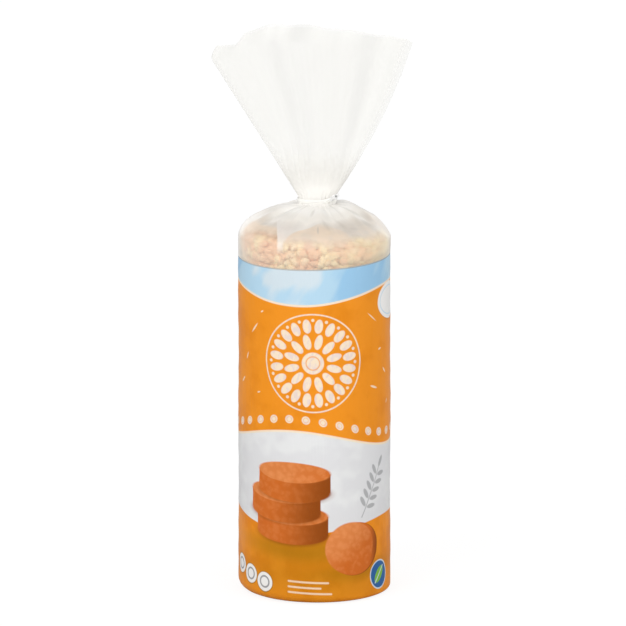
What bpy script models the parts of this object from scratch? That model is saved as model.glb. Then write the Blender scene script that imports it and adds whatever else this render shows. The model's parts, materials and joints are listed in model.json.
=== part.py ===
"""A tall clear bag of puffed rice cakes, closed by a twist tie under a fan of gathered film.

Metres, +Z up, standing on z = 0 with the axis of the stack of cakes on the Z axis. The broad side of the
fan faces -Y. The bag and its hidden stack of cakes are one solid, because the bag is sealed; the tie is the
other. Run it with blender --background --python part.py, or from Blender's text editor.
"""

import math

import bmesh
import bpy
from mathutils import Vector

# Driving dimensions
CAKE_COUNT = 14
CAKE_THICKNESS = 0.0170
FILM_RADIUS = 0.0490  # of the film around the stack
FAN_RISE = 0.1145  # from the tie to the highest point of the fan
FAN_LEFT = 0.0660  # reach of the fan's two top corners from the axis
FAN_RIGHT = 0.0630

# Heights, from the ground up
STACK_TOP = CAKE_COUNT * CAKE_THICKNESS
SHOULDER_START = STACK_TOP - 0.0064
TIE_HEIGHT = STACK_TOP + 0.0175
NECK_HALF_HEIGHT = 0.0027
FAN_START = TIE_HEIGHT + NECK_HALF_HEIGHT
FAN_TOP = TIE_HEIGHT + FAN_RISE

# The heel, where the side turns under: its radius is larger on the left
HEEL_MEAN = 0.0048
HEEL_SWING = 0.0023

# The shoulder: a rounded rim over the top cake, then a pleated cone up to the neck
RIM_ACROSS = 0.0165
RIM_RISE = 0.0130
RIM_END = math.radians(66)
RIM_LEAN = 0.0002  # how far the rim leans to the left
RIM_EASE_LEFT = 0.0005  # how far the rim is drawn in halfway up, at each side
RIM_EASE_RIGHT = 0.0020
CONE_CROWN = 0.0014  # how far the cone bulges upwards
CONE_SWELL = 0.0015  # and how much more at the right
SHOULDER_PLEAT = 0.0008
SHOULDER_PLEATS = ((9, 0.4, 1.0), (14, 2.1, 0.6))  # count, phase, share
PLEAT_SPREAD = 0.7  # under 1, the pleats keep more of their depth near the rim and the neck

# The neck, an oval bundle of film a little right of the axis
NECK_X = 0.0016
NECK_ACROSS = 0.0122
NECK_DEEP = 0.0068
NECK_PLEAT = 0.0003
NECK_PLEATS = 13
NECK_WAIST = 0.98  # of its width, where the tie goes round

# The fan: two walls that wave together, from the bundle out to a flat open mouth
FAN_HALF_GAP = 0.0040
FAN_EDGE = 5  # the power that closes the gap at the two edges
FAN_FLAT = 0.35  # the share of its height at which the bundle has spread flat
FAN_BOW = 0.0048  # how far the right edge bows outwards
FAN_CORNER = 0.0034  # how far the left edge turns back in at its rounded top corner
FAN_CORNER_START = 0.91
WAVE_DEPTH = 0.0026
WAVE_FULL = 0.8  # the share of the fan's height at which the waves are at their deepest
WAVE_FADE = 0.4  # how much less they swing at the fan's two edges
WAVES = ((3.1, 0.9, 1.0), (5.3, 2.6, 0.45))  # waves from edge to edge, phase, share
MOUTH_DEPTH = 0.0080
MOUTH_FLOOR = 0.6  # of the gap at the lip
LIP = 0.0014
# The mouth's uneven edge, from left to right: each step starts and ends at an x, and rises this much
MOUTH_LOW_LEFT = 0.0131  # how far the left corner lies under the highest point
MOUTH_STEPS = (
    (-0.0520, -0.0220, 0.0069),
    (-0.0510, -0.0440, 0.0062),
    (-0.0120, 0.0140, -0.0035),
    (0.0230, 0.0440, -0.0044),
    (0.0440, 0.0600, -0.0010),
    (0.0590, FAN_RIGHT, -0.0022),
)

# The tie, a covered wire round the neck with its two ends twisted together
WIRE_RADIUS = 0.0008
TIE_CLEARANCE = 0.0007
TWIST_ANGLE = math.radians(-55)  # where on the neck the ends meet
TWIST_SPREAD = math.radians(9)
TWIST_RADIUS = 0.0011
TWIST_LENGTH = 0.0090
TWIST_TURNS = 1.5
TWIST_POINTS = 14
TWIST_STANDOFF = 2.2  # from the loop to the twist, in radii of the twist
TWIST_SPLAY = 1.1  # how much the two strands part at their ends
TWIST_SPLAY_START = 0.75
TWIST_DIRECTION = Vector((0.46, -0.74, 0.49)).normalized()

# Fineness of the faceted surfaces
AROUND = 96  # points in a ring of the bag, a multiple of 4
HEEL_RINGS = 4
SIDE_RINGS = 6
RIM_RINGS = 5
CONE_RINGS = 6
FAN_RINGS = 13
LOOP_POINTS = 40


def smooth(start, end, value):
    """0 up to start, 1 from end, and a smooth ramp between."""
    share = min(1.0, max(0.0, (value - start) / (end - start)))
    return share * share * (3 - 2 * share)


def mix(first, second, share):
    return first + (second - first) * share


def material(name, colour, roughness):
    made = bpy.data.materials.new(name)
    made.use_nodes = True
    shader = made.node_tree.nodes["Principled BSDF"]
    shader.inputs["Base Color"].default_value = (*colour, 1)
    shader.inputs["Roughness"].default_value = roughness
    shader.inputs["Metallic"].default_value = 0.0
    return made


def angles():
    return [2 * math.pi * i / AROUND for i in range(AROUND)]


def round_ring(radius, height):
    return [Vector((radius * math.cos(a), radius * math.sin(a), height)) for a in angles()]


def heel_ring(turn):
    """A ring of the heel: turn is -90 degrees on the ground and 0 on the side."""
    ring = []
    for a in angles():
        heel = HEEL_MEAN - HEEL_SWING * math.cos(a)
        radius = FILM_RADIUS - heel + heel * math.cos(turn)
        ring.append(Vector((radius * math.cos(a), radius * math.sin(a), heel + heel * math.sin(turn))))
    return ring


def side_ring(share):
    """A ring of the side: the heel's own height at share 0, and level at the shoulder."""
    foot = heel_ring(0.0)
    return [Vector((p.x, p.y, mix(p.z, SHOULDER_START, share))) for p in foot]


def rim_ring(turn):
    """A ring of the rounded rim, drawn in a little more at the right."""
    radius = FILM_RADIUS - RIM_ACROSS + RIM_ACROSS * math.cos(turn)
    lean = Vector((RIM_LEAN * math.sin(turn), 0, 0))
    halfway = max(0.0, math.sin(math.pi * turn / RIM_END))
    ring = []
    for a, point in zip(angles(), round_ring(radius, SHOULDER_START + RIM_RISE * math.sin(turn))):
        sideways = math.cos(a)
        ease = (RIM_EASE_RIGHT if sideways > 0 else RIM_EASE_LEFT) * sideways**2 * halfway
        ring.append(point - lean - Vector((ease * sideways, ease * math.sin(a), 0)))
    return ring


def neck_ring(height, swell=1.0):
    """An oval ring of the bundle, with fine pleats."""
    ring = []
    for a in angles():
        pleat = NECK_PLEAT * math.cos(NECK_PLEATS * a)
        across = swell * NECK_ACROSS + pleat
        deep = swell * NECK_DEEP + pleat
        ring.append(Vector((NECK_X + across * math.cos(a), deep * math.sin(a), height)))
    return ring


def cone_ring(share):
    """A ring of the pleated cone, from the rim at share 0 to the neck at share 1."""
    rim = rim_ring(RIM_END)
    neck = neck_ring(TIE_HEIGHT - NECK_HALF_HEIGHT)
    arch = max(0.0, math.sin(math.pi * share))
    ring = []
    for a, low, high in zip(angles(), rim, neck):
        point = mix(low, high, share)
        pleats = sum(part * math.cos(n * a + phase) for n, phase, part in SHOULDER_PLEATS)
        crown = CONE_CROWN + CONE_SWELL * max(0.0, math.cos(a)) ** 2
        point.z += crown * arch + SHOULDER_PLEAT * arch**PLEAT_SPREAD * pleats
        ring.append(point)
    return ring


def mouth_height(across):
    steps = (rise * smooth(start, end, across) for start, end, rise in MOUTH_STEPS)
    return FAN_TOP - MOUTH_LOW_LEFT + sum(steps)


def fan_edges(rise):
    """The fan's left and right edge, as x, at this share of its height."""
    turn = max(0.0, rise - FAN_CORNER_START) / (1 - FAN_CORNER_START)
    left = mix(NECK_X - NECK_ACROSS, -FAN_LEFT, min(1.0, rise / FAN_CORNER_START))
    right = mix(NECK_X + NECK_ACROSS, FAN_RIGHT, rise) + FAN_BOW * 4 * rise * (1 - rise)
    return left + FAN_CORNER * turn**2, right


def wave(span, rise):
    """How far both walls swing to and fro together; span runs from -1 to 1 across the fan."""
    swing = sum(part * math.sin(math.pi * n * span + phase) for n, phase, part in WAVES)
    return WAVE_DEPTH * smooth(0.0, WAVE_FULL, rise) * (1 - WAVE_FADE * span * span) * swing


def fan_point(angle, rise, narrowed=0.0, thinned=1.0):
    """A point of the fan's walls: angle goes round the section, and rise from the neck to the mouth."""
    left, right = fan_edges(rise)
    middle, half = (left + right) / 2, (right - left) / 2
    even = 1 - 2 * angle / math.pi if angle <= math.pi else 2 * angle / math.pi - 3
    flat = smooth(0.0, FAN_FLAT, rise)
    span = mix(math.cos(angle), even, flat)
    across = span * (half - narrowed) / half
    oval = NECK_DEEP * math.sin(angle)
    flattened = math.copysign(FAN_HALF_GAP * (1 - abs(span) ** FAN_EDGE), math.sin(angle))
    deep = wave(across, rise) + thinned * mix(oval, flattened, flat)
    top_left, top_right = fan_edges(1.0)
    top = mouth_height(mix(top_left, top_right, (across + 1) / 2))
    return Vector((middle + half * across, deep, mix(FAN_START, top, rise)))


def fan_ring(rise):
    return [fan_point(a, rise) for a in angles()]


def lip_ring():
    """The inner edge of the mouth."""
    return [fan_point(a, 1.0, LIP, 1 - LIP / FAN_HALF_GAP) for a in angles()]


def mouth_floor_ring():
    """The mouth's floor: the fan is narrower there, so the floor stays clear of its two edges."""
    narrowed = 2 * LIP + MOUTH_DEPTH * (FAN_LEFT - NECK_ACROSS) / FAN_RISE
    thinned = MOUTH_FLOOR * (1 - LIP / FAN_HALF_GAP)
    ring = [fan_point(a, 1.0, narrowed, thinned) for a in angles()]
    return [point - Vector((0, 0, MOUTH_DEPTH)) for point in ring]


def bag_rings():
    rings = [heel_ring(math.radians(-90 + 90 * i / HEEL_RINGS)) for i in range(HEEL_RINGS)]
    rings += [side_ring(i / SIDE_RINGS) for i in range(SIDE_RINGS + 1)]
    rings += [rim_ring(RIM_END * i / RIM_RINGS) for i in range(1, RIM_RINGS + 1)]
    rings += [cone_ring(i / CONE_RINGS) for i in range(1, CONE_RINGS + 1)]
    rings += [neck_ring(TIE_HEIGHT, NECK_WAIST), neck_ring(FAN_START)]
    rings += [fan_ring(i / FAN_RINGS) for i in range(1, FAN_RINGS + 1)]
    return rings + [lip_ring(), mouth_floor_ring()]


def make_bag(collection, finish):
    """A loft through unlike rings, closed by the flat base and by the floor of the mouth."""
    mesh = bmesh.new()
    rows = [[mesh.verts.new(point) for point in ring] for ring in bag_rings()]
    for lower, upper in zip(rows, rows[1:]):
        for i in range(AROUND):
            j = (i + 1) % AROUND
            mesh.faces.new((lower[i], lower[j], upper[j], upper[i]))
    mesh.faces.new(reversed(rows[0]))
    top = rows[-1]
    mesh.faces.new((top[0], top[1], top[-1]))
    for i in range(1, AROUND // 2 - 1):
        mesh.faces.new((top[i], top[i + 1], top[-i - 1], top[-i]))
    mesh.faces.new((top[AROUND // 2 - 1], top[AROUND // 2], top[AROUND // 2 + 1]))
    bmesh.ops.recalc_face_normals(mesh, faces=mesh.faces)
    data = bpy.data.meshes.new("bag")
    mesh.to_mesh(data)
    mesh.free()
    data.shade_smooth()
    data.materials.append(finish)
    bag = bpy.data.objects.new("bag", data)
    collection.objects.link(bag)
    return bag


def on_loop(angle):
    """A point of the tie's loop round the neck."""
    clear = TIE_CLEARANCE + WIRE_RADIUS
    across, deep = NECK_ACROSS + clear, NECK_DEEP + clear
    return Vector((NECK_X + across * math.cos(angle), deep * math.sin(angle), TIE_HEIGHT))


def twisted_end(phase):
    """One strand of the twisted ends, from the neck outwards, turning about their common line."""
    aside = TWIST_DIRECTION.cross(Vector((0, 0, 1))).normalized()
    upward = aside.cross(TWIST_DIRECTION)
    start = on_loop(TWIST_ANGLE) + TWIST_DIRECTION * TWIST_STANDOFF * TWIST_RADIUS
    strand = []
    for i in range(TWIST_POINTS + 1):
        share = i / TWIST_POINTS
        turn = phase + 2 * math.pi * TWIST_TURNS * share
        spread = TWIST_RADIUS * (1 + TWIST_SPLAY * smooth(TWIST_SPLAY_START, 1.0, share))
        offset = aside * math.cos(turn) + upward * math.sin(turn)
        strand.append(start + TWIST_DIRECTION * TWIST_LENGTH * share + offset * spread)
    return strand


def make_tie(collection, finish):
    loop_span = 2 * math.pi - 2 * TWIST_SPREAD
    first = TWIST_ANGLE + TWIST_SPREAD
    loop = [on_loop(first + loop_span * i / LOOP_POINTS) for i in range(LOOP_POINTS + 1)]
    right_end, left_end = twisted_end(math.pi), twisted_end(0.0)
    points = list(reversed(right_end)) + loop + left_end
    curve = bpy.data.curves.new("twist_tie", "CURVE")
    curve.dimensions = "3D"
    curve.bevel_depth = WIRE_RADIUS
    curve.bevel_resolution = 2
    curve.use_fill_caps = True
    spline = curve.splines.new("POLY")
    spline.points.add(len(points) - 1)
    for knot, point in zip(spline.points, points):
        knot.co = (*point, 1)
    curve.materials.append(finish)
    tie = bpy.data.objects.new("twist_tie", curve)
    collection.objects.link(tie)
    return tie


def main():
    for item in list(bpy.data.objects):
        bpy.data.objects.remove(item)
    collection = bpy.data.collections.new("rice_cake_bag")
    bpy.context.scene.collection.children.link(collection)
    make_bag(collection, material("printed film", (0.86, 0.42, 0.07), 0.28))
    make_tie(collection, material("tie ribbon", (0.85, 0.85, 0.83), 0.40))


main()
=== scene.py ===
"""The looks of a tall bag of puffed rice cakes: printed film, clear film, the cakes inside and the twist tie.

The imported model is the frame. Metres, +Z up, the axis of the stack on Z, the broad side of the fan facing -Y.
The print is drawn in millimetres on the flat film: across from the front's middle, and up from the ground.
"""

import json
import math

import bpy
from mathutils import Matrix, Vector, noise

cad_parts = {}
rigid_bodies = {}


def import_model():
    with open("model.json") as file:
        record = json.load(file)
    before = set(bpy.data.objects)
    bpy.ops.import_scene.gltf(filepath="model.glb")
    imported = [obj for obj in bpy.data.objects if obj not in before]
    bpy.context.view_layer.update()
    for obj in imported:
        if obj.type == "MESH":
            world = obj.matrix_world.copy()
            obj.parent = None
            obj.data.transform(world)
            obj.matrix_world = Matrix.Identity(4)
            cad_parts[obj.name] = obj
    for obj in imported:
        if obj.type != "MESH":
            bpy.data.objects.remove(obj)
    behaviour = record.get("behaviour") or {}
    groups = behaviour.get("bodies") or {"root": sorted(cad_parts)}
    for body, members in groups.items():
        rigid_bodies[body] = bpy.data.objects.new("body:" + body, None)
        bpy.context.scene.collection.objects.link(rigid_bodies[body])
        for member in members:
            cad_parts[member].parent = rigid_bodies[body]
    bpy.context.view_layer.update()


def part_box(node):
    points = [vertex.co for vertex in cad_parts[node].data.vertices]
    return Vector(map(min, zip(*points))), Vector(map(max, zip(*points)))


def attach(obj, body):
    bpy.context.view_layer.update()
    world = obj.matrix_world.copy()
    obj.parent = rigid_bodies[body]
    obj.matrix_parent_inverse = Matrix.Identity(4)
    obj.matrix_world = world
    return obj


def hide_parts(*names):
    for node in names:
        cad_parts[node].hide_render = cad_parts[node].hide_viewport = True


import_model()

BODY = "root"
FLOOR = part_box("bag")[0].z
FAN_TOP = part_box("bag")[1].z

# The bag's driving sizes, as the solids have them
CAKE_COUNT = 14
CAKE_THICKNESS = 0.0170
FILM_RADIUS = 0.0490
STACK_TOP = FLOOR + CAKE_COUNT * CAKE_THICKNESS
SHOULDER_START = STACK_TOP - 0.0064
TIE_HEIGHT = STACK_TOP + 0.0175
NECK_HALF_HEIGHT = 0.0027
FAN_START = TIE_HEIGHT + NECK_HALF_HEIGHT
HEEL_MEAN = 0.0048
HEEL_SWING = 0.0023
RIM_ACROSS = 0.0165
RIM_RISE = 0.0130
RIM_END = math.radians(66)
RIM_LEAN = 0.0002
RIM_EASE_LEFT = 0.0005
RIM_EASE_RIGHT = 0.0020
CONE_CROWN = 0.0014
CONE_SWELL = 0.0015
SHOULDER_PLEAT = 0.0008
SHOULDER_PLEATS = ((9, 0.4, 1.0), (14, 2.1, 0.6))
PLEAT_SPREAD = 0.7
NECK_X = 0.0016
NECK_ACROSS = 0.0122
NECK_DEEP = 0.0068
NECK_WAIST = 0.98
FAN_LEFT = 0.0660
FAN_RIGHT = 0.0630
FAN_HALF_GAP = 0.0040
FAN_EDGE = 5
FAN_FLAT = 0.35
FAN_BOW = 0.0048
FAN_CORNER = 0.0034
FAN_CORNER_START = 0.91
WAVE_DEPTH = 0.0026
WAVE_FULL = 0.8
WAVE_FADE = 0.4
WAVES = ((3.1, 0.9, 1.0), (5.3, 2.6, 0.45))
MOUTH_LOW_LEFT = 0.0131
MOUTH_STEPS = (
    (-0.0520, -0.0220, 0.0069),
    (-0.0510, -0.0440, 0.0062),
    (-0.0120, 0.0140, -0.0035),
    (0.0230, 0.0440, -0.0044),
    (0.0440, 0.0600, -0.0010),
    (0.0590, FAN_RIGHT, -0.0022),
)

# The film's own finer shape
AROUND = 384
FILM_WELD = 0.00001
CAKE_RIDGE = 0.00012  # how far the film bulges at each cake
SIDE_HELD = 0.06  # of the side's height, where its two ends keep the plain radius
SIDE_DENT = 0.00045
DENTS = (2.2, 22.0)  # how close the dents are, round and up
DENT_LEVEL = 0.25  # the noise over which the film isn't dented
SEAM_WIDTH = 0.0060
SEAM_FLAT = 0.7  # of the seam's width
SEAM_RISE = 0.00035
CREST = 0.8  # lower is sharper
FINE_PLEATS = 26
FINE_PLEAT = 0.0004
FINE_PLEAT_RISE = 1.8  # the powers that bring the pleats in up the shoulder
FINE_PLEAT_FALL = 0.25  # and take them down to the neck's own
PLEAT_WARP = ((3, 1.3, 0.085), (7, 2.0, 0.05), (11, 0.5, 0.02))
FAN_PLEAT = 0.0003
FAN_PLEAT_FADE = (0.1, 0.45)  # of the fan's height
FAN_PLEAT_RISE = 8

# The print's upper edge, a straight cut through the film that leans a little
PRINT_TOP = FLOOR + 0.2205
PRINT_LEAN = math.radians(1.2)

# The tie: a flat ribbon with a wire along its middle
WIRE_RADIUS = 0.0008
TIE_CLEARANCE = 0.0007
TIE_DRAWN_IN = 0.0011  # how much closer than its solid the thin ribbon lies
TIE_WELD = 0.000002
TIE_SMOOTH = math.radians(50)
TWIST_ANGLE = math.radians(-55)
TWIST_SPREAD = math.radians(9)
TWIST_RADIUS = 0.0011
TWIST_LENGTH = 0.0090
TWIST_TURNS = 1.5
TWIST_POINTS = 30
TWIST_STANDOFF = 2.2
TWIST_SPLAY = 1.1
TWIST_SPLAY_START = 0.75
TWIST_TIGHT = 0.75  # of the twist's radius, where the thin strands lie
TWIST_DIRECTION = Vector((0.46, -0.74, 0.49)).normalized()
LOOP_POINTS = 72
EASING = 5  # how many times the ribbon's path is smoothed
RIBBON_HALF = 0.0013
RIBBON_THICK = 0.00016
RIBBON_WIRE = 0.0005
WIRE_FLAT = 0.85  # the wire's height to its width
WIRE_FACETS = 6

# The cakes
CAKE_RADIUS = 0.0460
CAKE_SIDES = 64
CAKE_ROUNDING = 0.2  # of its thickness
CAKE_SEEDS = (3, 20)
STACK_SIDES = 96
STACK_INSET = 0.0006  # how far the plain stack stays inside the cakes' radius
STACK_LIFT = 0.001
STACK_SMOOTH = math.radians(40)
GRAIN = Vector((0.0044, 0.0033, 0.0023))
GRAIN_KINDS = 4
GRAIN_LUMPS = 0.34
GRAIN_LUMP_SCALE = 1.6
GRAIN_KIND_SHIFT = Vector((7.3, 0, 0))  # from one kind to the next in the noise
GRAIN_TILT = 0.5  # radians either way
GRAIN_SMALL = (0.78, 0.8, 0.8)
GRAIN_LARGE = (1.25, 1.3, 1.25)
GRAIN_DENSITY = 400000.0  # to a square metre, before they are spaced
FILM_GAP = 0.0004  # between the film and the grains that press on it
FILM_HOLD = 0.0009  # how deep the film's pressure reaches into the grains
GRAIN_SUNK = 0.6  # of its half depth, how far a grain's middle lies under the cake's reach
GRAIN_SPACING = 0.0038


def smooth(start, end, value):
    share = min(1.0, max(0.0, (value - start) / (end - start)))
    return share * share * (3 - 2 * share)


def mix(first, second, share):
    return first + (second - first) * share


# ---- the film's shape


def warped(angle):
    """The angle with its pleats unevenly spread round the neck."""
    return angle + sum(part * math.sin(n * angle + phase) for n, phase, part in PLEAT_WARP)


def crease(turn):
    """A pleat's height from -1 to 1, sharp at its crest and round between crests."""
    return 1 - 2 * abs(math.sin(turn / 2)) ** CREST


def on_axis(radius, angle, height):
    return Vector((radius * math.cos(angle), radius * math.sin(angle), height))


def base_point(angle, share):
    heel = HEEL_MEAN - HEEL_SWING * math.cos(angle)
    return on_axis((FILM_RADIUS - heel) * share, angle, FLOOR)


def heel_point(angle, share):
    turn = math.radians(90 * share - 90)
    heel = HEEL_MEAN - HEEL_SWING * math.cos(angle)
    radius = FILM_RADIUS - heel + heel * math.cos(turn)
    return on_axis(radius, angle, FLOOR + heel + heel * math.sin(turn))


def side_point(angle, share):
    foot = heel_point(angle, 1.0).z
    height = mix(foot, SHOULDER_START, share)
    held = smooth(0.0, SIDE_HELD, share) * smooth(1.0, 1 - SIDE_HELD, share)
    ridge = CAKE_RIDGE * math.cos(2 * math.pi * (height / CAKE_THICKNESS - 0.5))
    dent = SIDE_DENT * (noise.noise(on_axis(DENTS[0], angle, height * DENTS[1])) - DENT_LEVEL)
    behind = abs(math.remainder(angle - math.pi / 2, 2 * math.pi)) * FILM_RADIUS
    seam = SEAM_RISE * smooth(SEAM_WIDTH, SEAM_WIDTH * SEAM_FLAT, behind)
    return on_axis(FILM_RADIUS + held * (ridge + min(dent, 0.0)) + seam * held, angle, height)


def rim_point(angle, share):
    turn = RIM_END * share
    sideways = math.cos(angle)
    ease = (RIM_EASE_RIGHT if sideways > 0 else RIM_EASE_LEFT) * sideways**2 * math.sin(math.pi * share)
    radius = FILM_RADIUS - RIM_ACROSS + RIM_ACROSS * math.cos(turn) - ease
    point = on_axis(radius, angle, SHOULDER_START + RIM_RISE * math.sin(turn))
    return point - Vector((RIM_LEAN * math.sin(turn), 0, 0))


def neck_oval(angle, height, swell=1.0):
    pleat = FINE_PLEAT / 2 * crease(FINE_PLEATS * warped(angle))
    across = swell * NECK_ACROSS + pleat
    deep = swell * NECK_DEEP + pleat
    return Vector((NECK_X + across * math.cos(angle), deep * math.sin(angle), height))


def cone_point(angle, share):
    point = mix(rim_point(angle, 1.0), neck_oval(angle, TIE_HEIGHT - NECK_HALF_HEIGHT), share)
    arch = max(0.0, math.sin(math.pi * share))
    pleats = sum(part * math.cos(n * angle + phase) for n, phase, part in SHOULDER_PLEATS)
    swell = share**FINE_PLEAT_RISE * (1 - share) ** FINE_PLEAT_FALL
    fine = FINE_PLEAT * swell * crease(FINE_PLEATS * warped(angle))
    crown = CONE_CROWN + CONE_SWELL * max(0.0, math.cos(angle)) ** 2
    point.z += crown * arch + SHOULDER_PLEAT * arch**PLEAT_SPREAD * pleats + fine
    return point


def neck_point(angle, share):
    waist = 1 - (1 - NECK_WAIST) * math.sin(math.pi * share)
    return neck_oval(angle, mix(TIE_HEIGHT - NECK_HALF_HEIGHT, FAN_START, share), waist)


def mouth_height(across):
    steps = (rise * smooth(start, end, across) for start, end, rise in MOUTH_STEPS)
    return FAN_TOP - MOUTH_LOW_LEFT + sum(steps)


def fan_edges(rise):
    turn = max(0.0, rise - FAN_CORNER_START) / (1 - FAN_CORNER_START)
    left = mix(NECK_X - NECK_ACROSS, -FAN_LEFT, min(1.0, rise / FAN_CORNER_START))
    right = mix(NECK_X + NECK_ACROSS, FAN_RIGHT, rise) + FAN_BOW * 4 * rise * (1 - rise)
    return left + FAN_CORNER * turn**2, right


def wave(span, rise):
    swing = sum(part * math.sin(math.pi * n * span + phase) for n, phase, part in WAVES)
    return WAVE_DEPTH * smooth(0.0, WAVE_FULL, rise) * (1 - WAVE_FADE * span * span) * swing


def fan_point(angle, rise):
    left, right = fan_edges(rise)
    middle, half = (left + right) / 2, (right - left) / 2
    turn = angle % (2 * math.pi)
    even = 1 - 2 * turn / math.pi if turn <= math.pi else 2 * turn / math.pi - 3
    flat = smooth(0.0, FAN_FLAT, rise)
    span = mix(math.cos(turn), even, flat)
    edge = 1 - abs(span) ** FAN_EDGE
    flattened = math.copysign(FAN_HALF_GAP * edge, math.sin(turn))
    pleat = FAN_PLEAT * crease(FINE_PLEATS * warped(angle)) * (1 - smooth(*FAN_PLEAT_FADE, rise))
    pleat *= edge * min(1.0, rise * FAN_PLEAT_RISE)
    deep = wave(span, rise) + mix(neck_oval(angle, 0.0).y, flattened, flat) + pleat
    top_left, top_right = fan_edges(1.0)
    top = mouth_height(mix(top_left, top_right, (span + 1) / 2))
    return Vector((middle + half * span, deep, mix(FAN_START, top, rise)))


ZONES = (  # from the ground up, each with its count of rows
    (base_point, 4),
    (heel_point, 6),
    (side_point, 44),
    (rim_point, 10),
    (cone_point, 28),
    (neck_point, 6),
    (fan_point, 70),
)


def film_rows():
    """The rows of the film from the middle of the base to the mouth, as (zone, share)."""
    rows = [(base_point, 0.0)]
    for zone, count in ZONES:
        rows += [(zone, i / count) for i in range(1, count + 1)]
    return rows


# ---- modelling helpers


def deselect():
    if bpy.context.object is not None and bpy.context.object.mode != "OBJECT":
        bpy.ops.object.mode_set(mode="OBJECT")
    bpy.ops.object.select_all(action="DESELECT")


def named(name):
    piece = bpy.context.object
    piece.name = name
    piece.data.name = name
    return piece


def activate(piece):
    deselect()
    piece.select_set(True)
    bpy.context.view_layer.objects.active = piece


def edit(piece):
    """Opens the piece in edit mode with all of it selected."""
    activate(piece)
    bpy.ops.object.mode_set(mode="EDIT")
    bpy.ops.mesh.select_all(action="SELECT")


def settle(piece):
    """Puts the object's place, turn and size into its mesh."""
    activate(piece)
    bpy.ops.object.transform_apply(location=True, rotation=True, scale=True)


def apply_modifiers(piece):
    activate(piece)
    for modifier in list(piece.modifiers):
        bpy.ops.object.modifier_apply(modifier=modifier.name)


def round_edges(piece, width, segments):
    """Rounds a settled piece's sharp edges."""
    settle(piece)
    bevel = piece.modifiers.new("rounded edge", "BEVEL")
    bevel.width = width
    bevel.segments = segments
    bevel.limit_method = "ANGLE"
    apply_modifiers(piece)


def finish_piece(piece, material, slot, *nodes):
    """Gives the piece its material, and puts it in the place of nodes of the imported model."""
    piece.data.materials.clear()
    piece.data.materials.append(material)
    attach(piece, BODY)
    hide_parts(*nodes)


# ---- shader maths


MM = 1000.0  # millimetres in a metre
ROUND = 2 * math.pi * FILM_RADIUS * MM  # once round the bag, in millimetres
EDGE_SOFTNESS = 0.35  # of a printed edge, in millimetres


class Value:
    """A number on a socket: Python's operators add Math nodes to it."""

    def __init__(self, tree, socket):
        self.tree = tree
        self.socket = socket

    def __add__(self, other):
        return self.tree.maths("ADD", self, other)

    def __radd__(self, other):
        return self.tree.maths("ADD", other, self)

    def __sub__(self, other):
        return self.tree.maths("SUBTRACT", self, other)

    def __rsub__(self, other):
        return self.tree.maths("SUBTRACT", other, self)

    def __mul__(self, other):
        return self.tree.maths("MULTIPLY", self, other)

    def __rmul__(self, other):
        return self.tree.maths("MULTIPLY", other, self)

    def __truediv__(self, other):
        return self.tree.maths("DIVIDE", self, other)

    def __pow__(self, other):
        return self.tree.maths("POWER", self, other)

    def __abs__(self):
        return self.tree.maths("ABSOLUTE", self)


class Tree:
    """A node tree, and what is added to it."""

    def __init__(self, node_tree):
        self.nodes = node_tree.nodes
        self.links = node_tree.links

    def plug(self, socket, value):
        if isinstance(value, Value):
            value = value.socket
        if isinstance(value, bpy.types.NodeSocket):
            self.links.new(value, socket)
        else:
            if isinstance(value, (tuple, list)) and len(value) == 3 and len(socket.default_value) == 4:
                value = (*value, 1.0)
            socket.default_value = value

    def node(self, kind, settings=None, inputs=None):
        made = self.nodes.new(kind)
        for name, value in (settings or {}).items():
            setattr(made, name, value)
        for name, value in (inputs or {}).items():
            self.plug(made.inputs[name], value)
        return made

    def show(self, output, shader, seen):
        """Puts out a shader, and another in its place where the camera sees it."""
        eye = self.node("ShaderNodeLightPath").outputs["Is Camera Ray"]
        both = self.node("ShaderNodeMixShader", {}, {0: eye, 1: shader.outputs[0], 2: seen.outputs[0]})
        self.plug(self.nodes[output].inputs["Surface"], both.outputs[0])


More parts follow.
